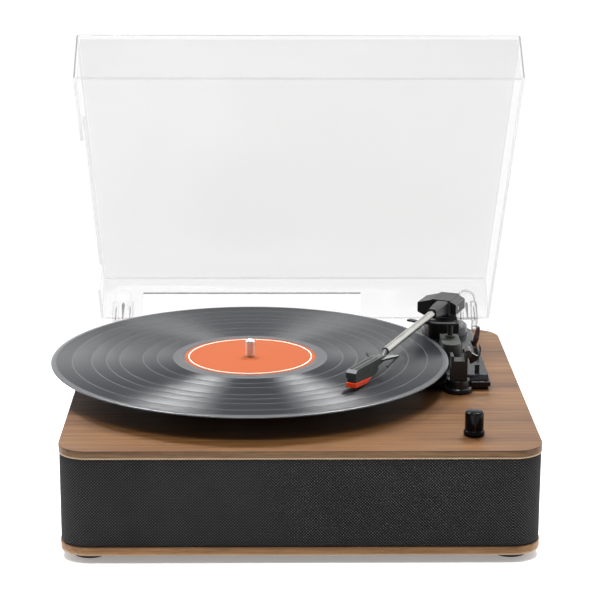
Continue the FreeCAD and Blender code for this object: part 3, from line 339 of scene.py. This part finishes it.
LOOKS = {
    "walnut": walnut("walnut_veneer"),
    "edge_top": walnut("walnut_edge_top", (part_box("top_board")[0].z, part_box("top_board")[1].z), 0.65),
    "edge_low": walnut("walnut_edge_low", (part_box("bottom_board")[0].z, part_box("bottom_board")[1].z), 1.4),
    "cloth": speaker_weave("speaker_cloth_weave"),
    "board": fibre("raw_board", (0.30, 0.20, 0.12), 700.0),
    "rubber": plastic("foot_rubber", (0.010, 0.010, 0.010), 0.7, 1800.0, 0.00006),
    "gloss": plastic("gloss_black", (0.005, 0.0055, 0.007), 0.14, 700.0, 0.000004, Specular_IOR_Level=0.35),
    "knob": plastic("knob_black", (0.002, 0.002, 0.0024), 0.12, 700.0, 0.000003, Specular_IOR_Level=0.1),
    "gloss_grey": plastic("gloss_grey", (0.040, 0.046, 0.055), 0.20, 700.0, 0.000004),
    "satin": plastic("satin_black", (0.008, 0.008, 0.0085), 0.46, 2400.0, 0.00004, Specular_IOR_Level=0.3),
    "brown_black": plastic("satin_brown_black", (0.009, 0.007, 0.0065), 0.40, 2400.0, 0.00003,
                           Specular_IOR_Level=0.35),
    "grey": plastic("satin_grey", (0.016, 0.0165, 0.017), 0.40, 2400.0, 0.00003, Specular_IOR_Level=0.32),
    # Painted highlight: a lighter grey for the head block's softened edges.
    "grey_painted_edge_highlight": plastic("satin_grey_painted_edge_highlight", (0.11, 0.11, 0.112), 0.36, 2400.0, 0.00003),
    "green_grey": plastic("satin_green_grey", (0.036, 0.039, 0.034), 0.38, 2400.0, 0.00003,
                          Specular_IOR_Level=0.4),
    "shell": plastic("shell_grey", (0.024, 0.026, 0.025), 0.38, 2400.0, 0.00003, Specular_IOR_Level=0.4),
    # Painted highlight: the headshell's sloping front lip, lighter than the rest of the shell.
    "lip": plastic("shell_lip", (0.15, 0.15, 0.16), 0.38, 2400.0, 0.00003, Specular_IOR_Level=0.3),
    "blade": plastic("blade_grey", (0.13, 0.135, 0.13), 0.38, 2400.0, 0.00003),
    "dark_red": plastic("dark_red", (0.035, 0.006, 0.006), 0.25, 1500.0, 0.00001, 0.3),
    "orange": plastic("guard_orange", (0.90, 0.055, 0.004), 0.3, 1500.0, 0.00001, 0.1, 0.05,
                      Specular_IOR_Level=0.3),
    "tube": metal("tube_satin", (0.42, 0.415, 0.39), 0.24, (300, 300, 300)),
    "steel": metal("plated_steel", (0.55, 0.55, 0.57), 0.3),
    "chrome": turned_metal("turned_chrome", (0.82, 0.82, 0.83)),
    "brass": metal("brass", (0.66, 0.47, 0.20), 0.25),
    "cast": metal("cast_aluminium", (0.50, 0.50, 0.51), 0.45, (500, 500, 500), 0.00005),
    "felt": fibre("felt", (0.016, 0.016, 0.017), 1400.0),
    "pulp": fibre("cone_pulp", (0.03, 0.03, 0.032), 1100.0, 0.0001),
    "circuit": plastic("solder_mask", (0.010, 0.085, 0.035), 0.35, 900.0, 0.00004, 0.2, 0.3),
    "vinyl": vinyl("vinyl_grooves"),
    "film": film("cover_film", (0.36, 0.36, 0.365), 0.13),
    # The cover's clear sheet: lighter copies are painted reflection and painted highlight on walls and rim,
    # darker copies are painted shade on folds and the notch edge.
    "film_side_painted_reflection": film("cover_side_painted_reflection", (0.62, 0.62, 0.625), 0.10),
    "film_rim_painted_highlight": film("cover_cut_rim_painted_highlight", (0.62, 0.62, 0.625), 0.34, 0.2),
    "film_line_painted_shade": film("cover_fold_line_painted_shade", (0.42, 0.42, 0.43), 0.24, 0.2),
    "film_fold_painted_shade": film("cover_front_fold_painted_shade", (0.05, 0.05, 0.055), 0.62, 0.2),
    "film_dark_painted_shade": film("cover_dark_line_painted_shade", (0.05, 0.05, 0.052), 0.80, 0.2),
    "hinge": film("hinge_clear", (0.85, 0.85, 0.86), 0.22),
    # Painted shade: dark edges and a dark core standing in for the dark streaks seen through the clear hinges.
    "hinge_line_painted_shade": film("hinge_edges_painted_shade", (0.12, 0.12, 0.125), 0.62, 0.2),
    "hinge_core_painted_shade": film("hinge_core_painted_shade", (0.05, 0.05, 0.052), 0.85, 0.2),
}


# ---- making pieces ---------------------------------------------------------------------------

def place(name, bm, material, body, smooth_angle=35.0, origin=None):
    """Turns a bmesh in the row frame into an object that rides on a body."""
    mesh = bpy.data.meshes.new(name)
    if origin is not None:
        bmesh.ops.translate(bm, verts=bm.verts, vec=-Vector(origin))
    limit = math.radians(smooth_angle)
    bm.normal_update()
    for face in bm.faces:
        face.smooth = True
    for edge in bm.edges:
        if len(edge.link_faces) != 2 or edge.calc_face_angle(0.0) > limit:
            edge.smooth = False
    bm.to_mesh(mesh)
    bm.free()
    obj = bpy.data.objects.new(name, mesh)
    bpy.context.scene.collection.objects.link(obj)
    if origin is not None:
        obj.location = Vector(origin)
    for m in material if isinstance(material, (list, tuple)) else [material]:
        mesh.materials.append(m)
    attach(obj, body)
    return obj


def soft_edges(obj, width, segments=2, angle=30.0):
    mod = obj.modifiers.new("edges", "BEVEL")
    mod.width = width
    mod.segments = segments
    mod.limit_method = "ANGLE"
    mod.angle_limit = math.radians(angle)
    mod.harden_normals = True
    mod.use_clamp_overlap = True
    return mod


def from_cad(node, material, width=0.0003, segments=2, choose=None, edge_index=-1):
    """The CAD node's own surface, rebuilt as clean polygons with softened edges.

    choose(center, normal) gives the material slot of each face; edge_index is the softened edges' slot."""
    source = nodes[node]
    bm = bmesh.new()
    bm.from_mesh(source.data)
    bmesh.ops.remove_doubles(bm, verts=bm.verts, dist=2e-6)
    bmesh.ops.dissolve_limit(bm, angle_limit=math.radians(0.6), verts=bm.verts, edges=bm.edges)
    bm.normal_update()
    if choose:
        for face in bm.faces:
            face.material_index = choose(face.calc_center_median(), face.normal)
    obj = place(node + "_skin", bm, material, body_of(source)[0])
    soft_edges(obj, width, segments).material = edge_index
    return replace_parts(obj, node)


def lathe(profile, center, steps=256):
    """A bmesh turned from (radius, height) points about a vertical line; heights are absolute."""
    bm = bmesh.new()
    rings = []
    for r, z in profile:
        if r < 1e-7:
            rings.append([bm.verts.new((center.x, center.y, z))])
            continue
        angles = [2 * math.pi * i / steps for i in range(steps)]
        rings.append([bm.verts.new((center.x + r * math.cos(a), center.y + r * math.sin(a), z))
                      for a in angles])
    for a, b in zip(rings, rings[1:]):
        if len(a) == len(b) == 1:
            continue
        for i in range(steps):
            j = (i + 1) % steps
            if len(a) == 1:
                bm.faces.new((a[0], b[i], b[j]))
            elif len(b) == 1:
                bm.faces.new((a[i], b[0], a[j]))
            else:
                bm.faces.new((a[i], b[i], b[j], a[j]))
    bmesh.ops.recalc_face_normals(bm, faces=bm.faces)
    return bm


def rounded_outline(width, depth, radius, corner_steps=16, straight_steps=24):
    """Points around a rounded rectangle, anticlockwise from the front right, with even runs."""
    hw, hd = width / 2 - radius, depth / 2 - radius
    points = []
    corners = [(hw, -hd, -90), (hw, hd, 0), (-hw, hd, 90), (-hw, -hd, 180)]
    for index, (cx, cy, start) in enumerate(corners):
        for i in range(corner_steps + 1):
            a = math.radians(start + 90 * i / corner_steps)
            points.append((cx + radius * math.cos(a), cy + radius * math.sin(a)))
        nx, ny, ns = corners[(index + 1) % 4]
        a = math.radians(ns)
        goal = (nx + radius * math.cos(a), ny + radius * math.sin(a))
        here = points[-1]
        for i in range(1, straight_steps):
            t = i / straight_steps
            points.append((here[0] + (goal[0] - here[0]) * t, here[1] + (goal[1] - here[1]) * t))
    return points


# ---- plinth ----------------------------------------------------------------------------------

top_low, top_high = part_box("top_board")
plinth_mid = (top_low + top_high) / 2


def is_side(center, normal):
    """Slots: 0 the veneered faces, 1 the cut edge all round."""
    return 1 if abs(normal.z) < 0.5 else 0


from_cad("top_board", [LOOKS["walnut"], LOOKS["edge_top"]], 0.0005, 3, is_side)
from_cad("bottom_board", [LOOKS["walnut"], LOOKS["edge_low"]], 0.0005, 3, is_side)


CLOTH_CORNER_R = 0.0205
CLOTH_T = 0.0008
TUCKS = (0.0009, 0.0003)


def cloth_band():
    """The stretched cloth, tucked in under the boards at both edges, with arc-length coordinates."""
    low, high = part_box("speaker_cloth")
    outline = rounded_outline(high.x - low.x, high.y - low.y, CLOTH_CORNER_R)
    between = [low.z + 0.002 + (high.z - low.z - 0.004) * i / 6 for i in range(1, 6)]
    levels = [low.z, low.z + 0.0006, low.z + 0.002, *between, high.z - 0.002, high.z - 0.0006, high.z]
    insets = [*TUCKS, *[0.0] * (len(levels) - 4), *TUCKS[::-1]]
    hw, hd = (high.x - low.x) / 2 - CLOTH_CORNER_R, (high.y - low.y) / 2 - CLOTH_CORNER_R
    bm = bmesh.new()
    uv = bm.loops.layers.uv.new("cloth")
    window_low, window_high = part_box("rear_panel")
    runs = [0.0]
    for a, b in zip(outline, outline[1:] + outline[:1]):
        runs.append(runs[-1] + math.dist(a, b))
    rows = []
    for z, inset in zip(levels, insets):
        row = []
        for x, y in outline:
            outward = Vector((x - max(-hw, min(hw, x)), y - max(-hd, min(hd, y)))).normalized()
            spot = Vector((x, y)) - outward * inset
            row.append(bm.verts.new((spot.x + plinth_mid.x, spot.y + plinth_mid.y, z)))
        rows.append(row)
    count = len(outline)
    for k in range(len(rows) - 1):
        for i in range(count):
            j = (i + 1) % count
            face = bm.faces.new((rows[k][i], rows[k][j], rows[k + 1][j], rows[k + 1][i]))
            spots = [(runs[i], levels[k]), (runs[i + 1], levels[k]), (runs[i + 1], levels[k + 1]),
                     (runs[i], levels[k + 1])]
            for loop, spot in zip(face.loops, spots):
                loop[uv].uv = spot
    gone = []
    for face in bm.faces:
        c = face.calc_center_median()
        if c.y > high.y - 0.001 and window_low.x < c.x < window_high.x and window_low.z < c.z < window_high.z:
            gone.append(face)
    bmesh.ops.delete(bm, geom=gone, context="FACES")
    obj = place("cloth_band", bm, LOOKS["cloth"], "plinth")
    solid = obj.modifiers.new("thickness", "SOLIDIFY")
    solid.thickness = CLOTH_T
    solid.offset = -1
    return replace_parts(obj, "speaker_cloth")


cloth_band()

# ---- record ----------------------------------------------------------------------------------

HOLE_R = 0.0037


def record_disc():
    """Lead-in bead, grooved playing area, dead wax and raised label seat, turned about the spindle."""
    top, low = record_high.z, record_low.z
    outer = (record_high.x - record_low.x) / 2
    groove_z, gap_z, seat_z = top - 0.00022, top - 0.00026, top - 0.0001
    rings = [(HOLE_R, low), (HOLE_R, seat_z), (0.0500, seat_z), (0.0502, top - 0.00002),
             (0.0535, top - 0.00018), (0.0585, top - 0.00030), (0.0592, groove_z)]
    for r in TRACK_GAPS:
        rings += [(r - 0.0005, groove_z), (r - 0.0003, gap_z), (r + 0.0003, gap_z), (r + 0.0005, groove_z)]
    rings += [(0.1445, groove_z), (0.1462, top - 0.00006), (0.1480, top), (0.1500, top - 0.00030),
              (outer - 0.0002, top - 0.0007), (outer, top - 0.0010), (outer - 0.0002, low + 0.0005),
              (0.1495, low + 0.0001), (0.146, low), (HOLE_R, low)]
    bm = lathe(rings, Vector((0, 0, 0)), 360)
    bmesh.ops.remove_doubles(bm, verts=bm.verts, dist=1e-6)
    bmesh.ops.translate(bm, verts=bm.verts, vec=(spin.x, spin.y, 0))
    obj = place("record_grooved", bm, LOOKS["vinyl"], "platter_unit", 30.0, (spin.x, spin.y, 0))
    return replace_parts(obj, "record")


record_disc()


LABEL_RING = (0.0463, 0.0471)
LABEL_R = 0.0499
LABEL_T = 0.00018


def label_material():
    """Plain orange paper with one thin cream ring near its edge."""
    s = Shader("label_paper", Roughness=0.55, Specular_IOR_Level=0.12)
    pos = s.coords()
    split = s.add("ShaderNodeSeparateXYZ", Vector=pos)
    radius = s.distance_out(split)
    paper = s.noise(pos, 900.0, 4.0, 0.7)
    base = s.mix(paper, (0.235, 0.043, 0.006), (0.270, 0.055, 0.009))
    ring = s.math("MULTIPLY", s.math("GREATER_THAN", radius, LABEL_RING[0]),
                  s.math("LESS_THAN", radius, LABEL_RING[1]))
    s.set("Base Color", s.mix(ring, base, (0.80, 0.74, 0.66)))
    s.set("Roughness", s.lerp(paper, 0.45, 0.65))
    s.bump(paper, 0.00003, 0.5)
    return s.mat


def label_disc():
    under = label_top - LABEL_T
    profile = [(HOLE_R, under), (HOLE_R, label_top), (0.0496, label_top), (LABEL_R, label_top - 0.00008),
               (LABEL_R, under)]
    bm = lathe(profile, Vector((spin.x, spin.y, 0)), 192)
    obj = place("label_disc", bm, label_material(), "platter_unit", 30.0, (spin.x, spin.y, 0))
    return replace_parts(obj, "record_label")


label_disc()

# ---- carried-over and softened CAD pieces ----------------------------------------------------

SKINS = {
    "arm_base": ("gloss", 0.0004), "arm_turret": ("gloss_grey", 0.0004),
    "arm_column": ("brown_black", 0.0004), "lift_housing": ("green_grey", 0.0004),
    "rest_collar": ("gloss", 0.0003), "arm_rest": ("brown_black", 0.0004), "rest_clip": ("gloss", 0.0002),
    "cue_lever": ("dark_red", 0.0005), "speed_slider": ("satin", 0.0003), "arm_boot": ("grey", 0.0004),
    "cartridge": ("green_grey", 0.0003), "stylus_guard": ("orange", 0.0004),
    "lift_bar": ("satin", 0.0003), "rear_panel": ("satin", 0.0004),
}
for node, (look, width) in SKINS.items():
    from_cad(node, LOOKS[look], width)
# The head block's softened edges take the lighter grey as a painted highlight.
from_cad("head_block", [LOOKS["grey"], LOOKS["grey_painted_edge_highlight"]], 0.0004, 2, None, 1)


def blade_top(center, normal):
    """Slots: 0 the finger lift, 1 the lit upper face of its blade."""
    return 1 if normal.z > 0.9 and center.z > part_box("finger_lift")[1].z - 0.0005 else 0


from_cad("finger_lift", [LOOKS["satin"], LOOKS["blade"]], 0.0002, 2, blade_top)


GROOVE_HALF = 0.45 * MM
GROOVE_DEPTH = 0.35 * MM


def knob_turned():
    """The knob and its flange, turned smooth, with the pointer groove pressed into the front."""
    low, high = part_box("volume_knob")
    center = (low + high) / 2
    flange_r = (high.x - low.x) / 2
    body_r = flange_r - 0.8 * MM
    bore_r, bore_top = 3.1 * MM, high.z - 3.5 * MM
    step = low.z + 3.7 * MM
    profile = [(bore_r, low.z), (flange_r - 0.3 * MM, low.z), (flange_r, low.z + 0.3 * MM),
               (flange_r, step - 0.8 * MM), (flange_r - 0.25 * MM, step - 0.25 * MM),
               (flange_r - 0.8 * MM, step), (body_r - 0.1 * MM, step + 0.3 * MM)]
    top_ring = [(body_r, high.z - 1.1 * MM)]
    for k in range(5):
        a = math.radians(90 * k / 4)
        top_ring.append((body_r - MM + MM * math.cos(a), high.z - MM + MM * math.sin(a)))
    rise = [(body_r, step + (high.z - MM - step) * t) for t in (0.12, 0.5, 0.88)]
    bore = [(0, high.z - 0.12 * MM), (0, bore_top), (bore_r, bore_top), (bore_r, low.z)]
    bm = lathe(profile + rise + top_ring + bore, center, 128)
    bmesh.ops.remove_doubles(bm, verts=bm.verts, dist=1e-6)
    for vert in bm.verts:
        flat = Vector((vert.co.x - center.x, vert.co.y - center.y))
        on_wall = vert.co.z > step + 0.5 * MM and flat.length > body_r - 0.2 * MM
        if on_wall and flat.y < 0 and abs(flat.x) < GROOVE_HALF:
            vert.co.y += GROOVE_DEPTH
    obj = place("knob_turned", bm, LOOKS["knob"], "knob", 40.0, (center.x, center.y, 0))
    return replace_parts(obj, "volume_knob")


knob_turned()


ARM_HEADING = math.radians(-112.7)
SHELL_OFFSET = math.radians(-6)
PAINTED_SHADOW_WING_Y = -0.0043
ARM_PIVOT = Vector(joint["arm_swing"]["pos_m"])
ARM_TURN = Matrix.Rotation(ARM_HEADING, 3, "Z")
SHELL_TURN = ARM_TURN @ Matrix.Rotation(SHELL_OFFSET, 3, "Z")
TUBE_END = ARM_PIVOT + ARM_TURN @ Vector((0.146, 0.0025, 0))


def shell_part(center, normal):
    """Slots: 0 the shell, 1 its sloping front lip, painted bright as a painted highlight, 2 the wing on the
    record side, painted dark as painted shadow.
    """
    p = SHELL_TURN.transposed() @ (center - TUBE_END)
    n = SHELL_TURN.transposed() @ normal
    # Faces sloping forward and up get the painted highlight; the record-side wing gets satin black as painted
    # shadow.
    if n.x > 0.3 and n.z > 0.3:
        return 1
    return 2 if p.y < PAINTED_SHADOW_WING_Y else 0


from_cad("headshell", [LOOKS["shell"], LOOKS["lip"], LOOKS["satin"]], 0.0003, 2, shell_part)

# ---- dust cover and hinges -------------------------------------------------------------------

OPEN_ANGLE = math.radians(51.2)
HINGE = Vector(joint["lid_hinge"]["pos_m"])
OPEN_TURN = Matrix.Rotation(OPEN_ANGLE, 3, "X")
RIM_Z = top_high.z + 0.0003


def cover_part(center, normal):
    """Slots: 0 top and rear, 1 side and front walls with a painted reflection, 2 cut rim with a painted
    highlight, 3 folds, 4 rear notch edge, 5 front folds, 3 to 5 painted darker as painted shade.
    """
    n = OPEN_TURN @ normal
    p = HINGE + OPEN_TURN @ (center - HINGE)
    if n.z < -0.99 and p.z < RIM_Z + 0.002:
        return 2
    if n.z < -0.99 and p.z < RIM_Z + 0.03:
        return 4 if p.y > HINGE.y - 0.03 else 2
    if max(abs(n.x), abs(n.y), abs(n.z)) < 0.99:
        return 5 if n.y < -0.05 else 3
    return 1 if abs(n.x) > 0.99 or n.y < -0.99 else 0


COVER_LOOKS = ("film", "film_side_painted_reflection", "film_rim_painted_highlight", "film_line_painted_shade", "film_dark_painted_shade", "film_fold_painted_shade")
# Folds, notch edge and softened edges take painted shade; walls and rim take painted reflection and painted
# highlight.
from_cad("dust_cover", [LOOKS[look] for look in COVER_LOOKS], 0.0003, 2, cover_part, 3)


RIB_Y = (-11.7, -10.9)
ARM_STRIP_X = 5.9


def hinge_painted_shade_rib(end):
    """Painted shade in a clear hinge: a dark core and a dark line down each arm, drawn shut in millimetres and
    turned open.
    """
    low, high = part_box("hinge_upper_" + end)
    core = [(-0.5, 10.4), (0.5, 10.4), (0.9, 18.0), (1.4, 24.5), (0.8, 27.4), (-0.8, 27.4), (-1.4, 24.5),
            (-0.9, 18.0)]
    strip = [(-0.3, 9.0), (0.3, 9.0), (0.45, 20.0), (0.1, 24.0), (-0.3, 24.0), (-0.45, 20.0)]
    arms = [[(side * ARM_STRIP_X + x, z) for x, z in strip] for side in (-1, 1)]
    bm = bmesh.new()
    for outline in [core] + arms:
        ends = [[bm.verts.new((x * MM, y * MM, z * MM)) for x, z in outline] for y in RIB_Y]
        bm.faces.new(ends[0])
        bm.faces.new(ends[1][::-1])
        for i in range(len(outline)):
            j = (i + 1) % len(outline)
            bm.faces.new((ends[0][j], ends[0][i], ends[1][i], ends[1][j]))
    bmesh.ops.transform(bm, matrix=OPEN_TURN.inverted().to_4x4(), verts=bm.verts)
    bmesh.ops.translate(bm, verts=bm.verts, vec=((low.x + high.x) / 2, HINGE.y, HINGE.z))
    bmesh.ops.recalc_face_normals(bm, faces=bm.faces)
    soft_edges(place("hinge_painted_shade_rib_" + end, bm, LOOKS["hinge_core_painted_shade"], "lid"), 0.0002)


for end in ("left", "right"):
    from_cad("hinge_upper_" + end, [LOOKS["hinge"], LOOKS["hinge_line_painted_shade"]], 0.0008, 2, None, 1)
    from_cad("hinge_lower_" + end, [LOOKS["hinge"], LOOKS["hinge_line_painted_shade"]], 0.0005, 2, None, 1)
    hinge_painted_shade_rib(end)

PLAIN = {
    "foot_screws": "steel", "hinge_screws": "steel", "base_screws": "steel", "hinge_pins": "steel",
    "cabinet_frame": "board", "rca_sockets": "steel", "headphone_jack": "satin", "power_inlet": "satin",
    "amplifier_board": "circuit", "amplifier_parts": "cast", "board_posts": "satin", "motor_can": "steel",
    "motor_pulley": "brass", "platter_bearing": "brass", "drive_belt": "rubber", "platter": "cast",
    "spindle": "chrome", "slip_mat": "felt", "volume_pot": "steel", "pot_shaft": "steel", "arm_yoke": "steel",
    "counterweight": "steel", "arm_tube": "tube", "stylus": "steel",
}
PLAIN.update({f"foot_{i}": "rubber" for i in (1, 2, 3, 4)})
PLAIN.update({f"speaker_frame_{end}": "satin" for end in ("left", "right")})
PLAIN.update({f"speaker_cone_{end}": "pulp" for end in ("left", "right")})
for name, piece in nodes.items():
    if not piece.hide_render:
        piece.data.materials.clear()
        piece.data.materials.append(LOOKS[PLAIN[name]])

# ---- stage -----------------------------------------------------------------------------------

def floor():
    """A wide white sheet that glows faintly, so that it fades into the backdrop."""
    bm = bmesh.new()
    bmesh.ops.create_grid(bm, x_segments=1, y_segments=1, size=6.0)
    mesh = bpy.data.meshes.new("floor")
    bm.to_mesh(mesh)
    bm.free()
    obj = bpy.data.objects.new("floor", mesh)
    bpy.context.scene.collection.objects.link(obj)
    s = Shader("floor_white", (0.95, 0.95, 0.95), Roughness=0.9, Specular_IOR_Level=0.1,
               Emission_Color=(1, 1, 1, 1), Emission_Strength=0.28)
    mesh.materials.append(s.mat)


def area_light(name, place_at, aim, size, power, spread):
    data = bpy.data.lights.new(name, "AREA")
    data.size = size
    data.energy = power
    data.spread = math.radians(spread)
    obj = bpy.data.objects.new(name, data)
    bpy.context.scene.collection.objects.link(obj)
    obj.location = place_at
    obj.rotation_euler = (Vector(aim) - Vector(place_at)).to_track_quat("-Z", "Y").to_euler()
    return obj


def camera():
    """Level with the view that the object is drawn from: in front, a little above, long lens."""
    data = bpy.data.cameras.new("camera")
    data.lens = 117.9
    data.sensor_width = 36.0
    data.clip_end = 50.0
    obj = bpy.data.objects.new("camera", data)
    bpy.context.scene.collection.objects.link(obj)
    eye = Vector((-0.0112, -1.4449, 0.51705))
    pitch, yaw, roll = math.radians(14.49), math.radians(-0.90), math.radians(0.19)
    forward = Vector((-math.sin(yaw) * math.cos(pitch), math.cos(yaw) * math.cos(pitch), -math.sin(pitch)))
    turn = forward.to_track_quat("-Z", "Y").to_matrix() @ Matrix.Rotation(roll, 3, "Z")
    obj.matrix_world = Matrix.Translation(eye) @ turn.to_4x4()
    bpy.context.scene.camera = obj


DIM_FRONT, BRIGHT_BACK = 0.25, 1.58
STRIP_DEPTH = 0.8


def light_room():
    """A room that brightens from front to back, with a dark strip overhead, and three softboxes."""
    world = bpy.data.worlds.new("studio")
    bpy.context.scene.world = world
    world.use_nodes = True
    tree = world.node_tree

    def ease(value, low, high, start, end):
        node = tree.nodes.new("ShaderNodeMapRange")
        node.interpolation_type = "SMOOTHSTEP"
        for key, number in (("From Min", low), ("From Max", high), ("To Min", start), ("To Max", end)):
            node.inputs[key].default_value = number
        tree.links.new(value, node.inputs["Value"])
        return node.outputs["Result"]

    def calculate(operation, *values):
        node = tree.nodes.new("ShaderNodeMath")
        node.operation = operation
        for socket, value in zip(node.inputs, values):
            if isinstance(value, bpy.types.NodeSocket):
                tree.links.new(value, socket)
            else:
                socket.default_value = value
        return node.outputs[0]

    split = tree.nodes.new("ShaderNodeSeparateXYZ")
    tree.links.new(tree.nodes.new("ShaderNodeTexCoord").outputs["Generated"], split.inputs["Vector"])
    level = ease(split.outputs["Y"], -0.6, 0.25, DIM_FRONT, BRIGHT_BACK)
    aside = calculate("ABSOLUTE", split.outputs["X"])
    strip = calculate("MULTIPLY", ease(aside, 0.12, 0.45, 1.0, 0.0),
                      ease(split.outputs["Z"], 0.12, 0.42, 0.0, 1.0))
    keep = calculate("MULTIPLY_ADD", strip, -STRIP_DEPTH, 1.0)
    backdrop = tree.nodes["Background"]
    tree.links.new(calculate("MULTIPLY", level, keep), backdrop.inputs["Strength"])
    backdrop.inputs["Color"].default_value = (1, 1, 1, 1)
    aim = (spin.x, spin.y, 0.1)
    area_light("left_softbox", (spin.x - 0.40, spin.y + 0.75, 1.36), aim, 0.36, 1.2, 28)
    area_light("front_softbox", (0, -0.5, 1.7), (0, -0.38, 0), 0.6, 2.3, 48)
    area_light("right_softbox", (spin.x + 0.43, spin.y + 0.75, 1.36), aim, 0.36, 1.2, 28)


floor()
light_room()
camera()
bpy.context.scene.view_settings.view_transform = "Standard"
